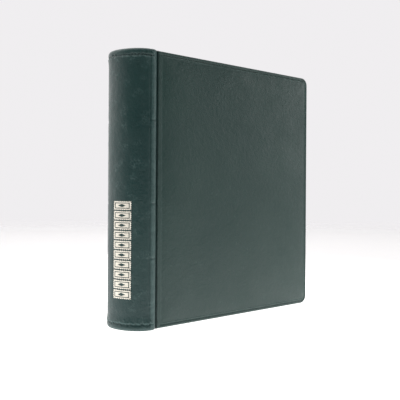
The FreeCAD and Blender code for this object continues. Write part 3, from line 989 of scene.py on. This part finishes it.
# %% Polished metal copies
def polished(node, material, body, edge=0.12 * MM):
    """A copy of a frame node with merged faces, slightly rounded edges and smooth shading."""
    work = bmesh.new()
    work.from_mesh(frame["nodes"][node].data)
    bmesh.ops.remove_doubles(work, verts=work.verts, dist=0.002 * MM)
    bmesh.ops.dissolve_limit(work, angle_limit=math.radians(1.0), verts=work.verts, edges=work.edges)
    mesh = bpy.data.meshes.new(node + "_polished")
    work.to_mesh(mesh)
    work.free()
    piece = new_object(node + "_polished", mesh)
    if edge:
        bevel = piece.modifiers.new("edge", "BEVEL")
        bevel.width = edge
        bevel.segments = 2
        bevel.limit_method = "ANGLE"
        bevel.angle_limit = math.radians(40.0)
        bevel.harden_normals = False
        bake_modifiers(piece)
    dress(piece, material, body)
    piece.data.set_sharp_from_angle(angle=math.radians(32.0))
    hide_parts(node)
    return piece


for node, body in (("ring_canopy", "spine"), ("mounting_rivets", "spine"),
                   ("top_lever", "top_lever"), ("bottom_lever", "bottom_lever")):
    polished(node, NICKEL, body)
for side in ("front", "back"):
    polished(side + "_half_rings", NICKEL, side + "_rings", edge=0.0)
    polished(side + "_blade", SPRING_STEEL, side + "_rings")
for node in ("rivet_washers", "lever_pins"):
    polished(node, SPRING_STEEL, "spine")
print("ring mechanism polished")

# %% [markdown]
# ## Pocket leaves
#
# Each leaf is a white punched strip, a black card and two clear films welded along the top, the
# middle and the bottom, so that a postcard slips in from the side. Soft film is never quite flat,
# so each film is a fine grid with a slow wave, a little different on every leaf.

# %% Where each leaf lies, and its films
RING_X = JOINTS["leaf_05_turn"]["pos_m"][0]
LEAF_COUNT = 10
FILM_WALL = 0.12 * MM
FILM_OFF_CARD = 0.30 * MM
FILM_BULGE = 0.10 * MM
FILM_WAVE = 0.09 * MM
FILM_WAVE_LENGTH = 33.0 * MM
FILM_FLAT_RIM = 6.0 * MM        # over this width the film comes down to its welded edge


def leaf_place(number):
    """The matrix that turns a leaf from lying shut to where it stands."""
    side = "front" if number <= LEAF_COUNT // 2 else "back"
    splay = math.radians(-JOINTS["leaf_%02d_turn" % number]["range_deg"][0])
    centre = Vector((RING_X, 0.0, 0.0))
    turn = Matrix.Rotation(SIDE[side] * splay, 4, "Z")
    return Matrix.Translation(centre) @ turn @ Matrix.Translation(-centre)


def flat_box(node, place):
    """The node's lowest and highest corners in its leaf's own flat position."""
    back = place.inverted()
    corners = np.array([back @ vertex.co for vertex in frame["nodes"][node].data.vertices])
    return corners.min(axis=0), corners.max(axis=0)


def film_pair(number):
    """Two wavy films, one on each face of the card, as one mesh."""
    place = leaf_place(number)
    low, high = flat_box("leaf_%02d_films" % number, place)
    middle = (low[1] + high[1]) / 2
    across = np.linspace(low[0], high[0], 41)
    heights = np.linspace(low[2], high[2], 57)
    work = bmesh.new()
    for face in (-1.0, 1.0):
        rows = []
        for z in heights:
            row = []
            for x in across:
                rim = min(x - low[0], high[0] - x, z - low[2], high[2] - z) / FILM_FLAT_RIM
                wave = wobble(x, z, FILM_WAVE_LENGTH, 3.0 * number + face)
                bulge = (FILM_BULGE + FILM_WAVE * wave) * min(1.0, rim)
                row.append((x, middle + face * (FILM_OFF_CARD + bulge), z))
            rows.append(row)
        sheet = grid_mesh("film", rows)
        if sheet.polygons[0].normal.y * face < 0:
            sheet.flip_normals()
        work.from_mesh(sheet)
        bpy.data.meshes.remove(sheet)
    name = "leaf_%02d_pocket_films" % number
    mesh = bpy.data.meshes.new(name)
    work.to_mesh(mesh)
    work.free()
    mesh.transform(place)
    piece = new_object(name, mesh)
    thicken(piece, FILM_WALL)
    dress(piece, CLEAR_FILM, "leaf_%02d" % number)
    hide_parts("leaf_%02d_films" % number)
    return piece


for number in range(1, LEAF_COUNT + 1):
    film_pair(number)
print("films made for", LEAF_COUNT, "leaves")

# %% [markdown]
# ## Weld lines
#
# A weld in pocket film shows as a row of short milky dashes, where heated bars pressed the films
# together. Geometry Nodes lay a grid of points, three welds high and many dashes long, and put a
# dash on each point. The dashes of one leaf are baked into one mesh.

# %% Dashes along three welds
DASH = (1.5 * MM, 1.15 * MM, 0.8 * MM)
DASH_PITCH = 2.4 * MM
WELD_INSET = 2.2 * MM


def weld_tree():
    """A dash on every point of an upright grid."""
    tree, given, result = geometry_tree("pocket_welds")
    for name in ("Width", "Height"):
        group_input(tree, name, "NodeSocketFloat", 0.1)
    group_input(tree, "Dashes", "NodeSocketInt", 10)
    group_input(tree, "Welds", "NodeSocketInt", 3)
    group_input(tree, "Weld", "NodeSocketMaterial")
    get = given.outputs
    grid = add_node(tree, "GeometryNodeMeshGrid", None,
                    {"Size X": get["Width"], "Size Y": get["Height"],
                     "Vertices X": get["Dashes"], "Vertices Y": get["Welds"]}).outputs["Mesh"]
    upright = add_node(tree, "GeometryNodeTransform", None,
                       {"Geometry": grid, "Rotation": (math.pi / 2, 0.0, 0.0)}).outputs[0]
    copies = add_node(tree, "GeometryNodeInstanceOnPoints", None,
                      {"Points": upright, "Instance": get["Geometry"]}).outputs[0]
    real = add_node(tree, "GeometryNodeRealizeInstances", None, {"Geometry": copies}).outputs[0]
    painted = add_node(tree, "GeometryNodeSetMaterial", None,
                       {"Geometry": real, "Material": get["Weld"]}).outputs[0]
    tree.links.new(painted, result.inputs[0])
    return tree


def dash_mesh():
    """A dash with rounded corners, just thicker than the leaf, so it shows on both faces."""
    work = bmesh.new()
    bmesh.ops.create_cube(work, size=1.0, matrix=Matrix.Diagonal((*DASH, 1.0)))
    bmesh.ops.bevel(work, geom=work.edges[:], offset=0.12 * MM, segments=1, affect="EDGES")
    mesh = bpy.data.meshes.new("weld_dash")
    work.to_mesh(mesh)
    work.free()
    return mesh


WELD_TREE = weld_tree()


def leaf_welds(number):
    place = leaf_place(number)
    low, high = flat_box("leaf_%02d_films" % number, place)
    width = high[0] - low[0] - 2 * WELD_INSET
    height = high[2] - low[2] - 2 * WELD_INSET
    name = "leaf_%02d_weld_lines" % number
    piece = new_object(name, dash_mesh())
    modifier = piece.modifiers.new("welds", "NODES")
    modifier.node_group = WELD_TREE
    set_inputs(modifier, {"Width": width, "Height": height, "Weld": WELD_PLASTIC,
                          "Dashes": int(width / DASH_PITCH) + 1, "Welds": 3})
    bake_modifiers(piece)
    centre = Vector((low + high) / 2)
    piece.data.transform(place @ Matrix.Translation(centre))
    return dress(piece, WELD_PLASTIC, "leaf_%02d" % number)


for number in range(1, LEAF_COUNT + 1):
    welds = leaf_welds(number)
print("each leaf has", len(welds.data.polygons), "weld faces")

# %% [markdown]
# ## Materials for what stays as packed
#
# Boards, linings, cards and strips are plain sheets with the right shape already. They keep their
# meshes and only get their finishes, chosen by what each piece is.

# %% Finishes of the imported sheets
FINISHES = {"_board": GREY_BOARD, "spine_shell": GREY_BOARD, "_lining": LINING_PAPER,
            "_card": BLACK_CARD, "_strip": WHITE_STRIP}
painted_nodes = 0
for name, node in frame["nodes"].items():
    for ending, material in FINISHES.items():
        if name.endswith(ending):
            for material_slot in node.material_slots:
                material_slot.material = material
            painted_nodes += 1
print(painted_nodes, "packed pieces painted")

# %% [markdown]
# ## Floor, light and camera
#
# The album stands on a plain pale floor that fades into a pale surround, so there is no edge to
# see from any side. The floor glows a little itself, which lights the album from below, and a wide
# lamp overhead lights the rest. The surround is one even tone to the viewer, but it lights the
# album from one bright side, which gives the round spine its long soft reflection.

# %% Floor and surround
SURROUND = (0.87, 0.855, 0.87)
BRIGHT_SIDE = (0.26, 0.966, 0.0)
BRIGHT_WALL = (1.65, 1.6, 1.6)
DIM_ROOM = (0.09, 0.09, 0.095)
FLOOR_CENTRE_RADIUS = 0.01
FLOOR_REACH = 4.0
FLOOR_DROP = 0.2 * MM           # just under the album, so the two faces don't share a plane
FLOOR_GLOW = (1.3, 0.34)        # beside the album, and further off
GLOW_DISTANCE = (0.12, 0.6)
FADE_DISTANCE = (0.5, 2.1)


def make_floor():
    """A disc of rings round the album, with its small centre filled."""
    angles = np.linspace(0.0, 2.0 * math.pi, 64, endpoint=False)
    rows = [[(radius * math.cos(a), radius * math.sin(a), -FLOOR_DROP) for a in angles]
            for radius in spread((FLOOR_CENTRE_RADIUS, 0), (0.6, 8), (FLOOR_REACH, 10))]
    mesh = grid_mesh("pale_floor", rows, loop_columns=True)
    work = bmesh.new()
    work.from_mesh(mesh)
    centre_edges = [edge for edge in work.edges
                    if edge.is_boundary and edge.calc_length() < FLOOR_CENTRE_RADIUS]
    bmesh.ops.holes_fill(work, edges=centre_edges)
    bmesh.ops.recalc_face_normals(work, faces=work.faces)
    work.to_mesh(mesh)
    work.free()
    floor = new_object("pale_floor", mesh)
    if floor.data.polygons[0].normal.z < 0:
        floor.data.flip_normals()
    return floor


def floor_material():
    """White and softly glowing near the album, and fading out to the surround further away."""
    material, tree, shader = new_material("pale_floor")
    points = object_points(tree)
    tone = noise_value(tree, points, 3.0, 2.0)
    tree.links.new(mixed(tree, tone, (0.64, 0.635, 0.64), (0.67, 0.665, 0.665)),
                   shader.inputs["Base Color"])
    shader.inputs["Roughness"].default_value = 0.6
    shader.inputs["Specular IOR Level"].default_value = 0.2
    shader.inputs["Emission Color"].default_value = (1.0, 0.985, 0.98, 1.0)
    distance = add_node(tree, "ShaderNodeVectorMath", {"operation": "LENGTH"},
                        {0: points}).outputs["Value"]
    tree.links.new(between(tree, distance, *FLOOR_GLOW, *GLOW_DISTANCE),
                   shader.inputs["Emission Strength"])
    fade = add_node(tree, "ShaderNodeMapRange", {"interpolation_type": "SMOOTHSTEP"},
                    {"Value": distance, "From Min": FADE_DISTANCE[0],
                     "From Max": FADE_DISTANCE[1],
                     "To Min": 1.0, "To Max": 0.0}).outputs["Result"]
    tree.links.new(fade, shader.inputs["Alpha"])
    return material


floor = make_floor()
floor.data.materials.append(floor_material())

world = bpy.data.worlds.new("pale_surround")
bpy.context.scene.world = world
world.use_nodes = True
background = world.node_tree.nodes["Background"]
sky_direction = world.node_tree.nodes.new("ShaderNodeTexCoord").outputs["Generated"]
facing = add_node(world.node_tree, "ShaderNodeVectorMath", {"operation": "DOT_PRODUCT"},
                  {0: sky_direction, 1: BRIGHT_SIDE}).outputs["Value"]
brightness = between(world.node_tree, facing, 0.0, 1.0, 0.12, 0.72)
studio = mixed(world.node_tree, brightness, DIM_ROOM, BRIGHT_WALL)
seen = world.node_tree.nodes.new("ShaderNodeLightPath").outputs["Is Camera Ray"]
world.node_tree.links.new(mixed(world.node_tree, seen, studio, SURROUND),
                          background.inputs["Color"])
bpy.context.scene.view_settings.view_transform = "Standard"
print("floor and surround ready")

# %% Lamps
def area_lamp(name, place, aim, size, watts):
    lamp = bpy.data.lights.new(name, "AREA")
    lamp.size = size
    lamp.energy = watts
    holder = bpy.data.objects.new(name, lamp)
    bpy.context.scene.collection.objects.link(holder)
    holder.location = place
    holder.rotation_euler = (Vector(aim) - Vector(place)).to_track_quat("-Z", "Y").to_euler()
    return holder


area_lamp("overhead_lamp", (0.1, 0.1, 1.7), (0.0, 0.0, 0.0), 2.2, 22.0)
area_lamp("side_lamp", (1.0, -1.3, 0.5), (0.0, -0.05, 0.12), 0.8, 4.0)
print("two soft lamps placed")

# %% Camera
VIEW_TURN = math.radians(27.65)
EYE_BEFORE_RIDGE = 537.8 * MM
RIDGE_LEFT_OF_VIEW = 38.6 * MM
ROLL = math.radians(0.35)

forward = Vector((math.cos(VIEW_TURN), math.sin(VIEW_TURN), 0.0))
rightward = Vector((forward.y, -forward.x, 0.0))
ridge = Vector((HINGE_X, -HALF_SPINE, HEIGHT / 2))
lens = bpy.data.cameras.new("viewer")
lens.lens = 54.0
lens.sensor_width = 36.0
lens.shift_y = -0.025
lens.clip_start = 0.01
viewer = bpy.data.objects.new("viewer", lens)
bpy.context.scene.collection.objects.link(viewer)
viewer.location = ridge + RIDGE_LEFT_OF_VIEW * rightward - EYE_BEFORE_RIDGE * forward
upright = forward.to_track_quat("-Z", "Y").to_matrix()
viewer.rotation_euler = (upright @ Matrix.Rotation(ROLL, 3, "Z")).to_euler()
bpy.context.scene.camera = viewer
print("camera at", tuple(round(value, 3) for value in viewer.location))
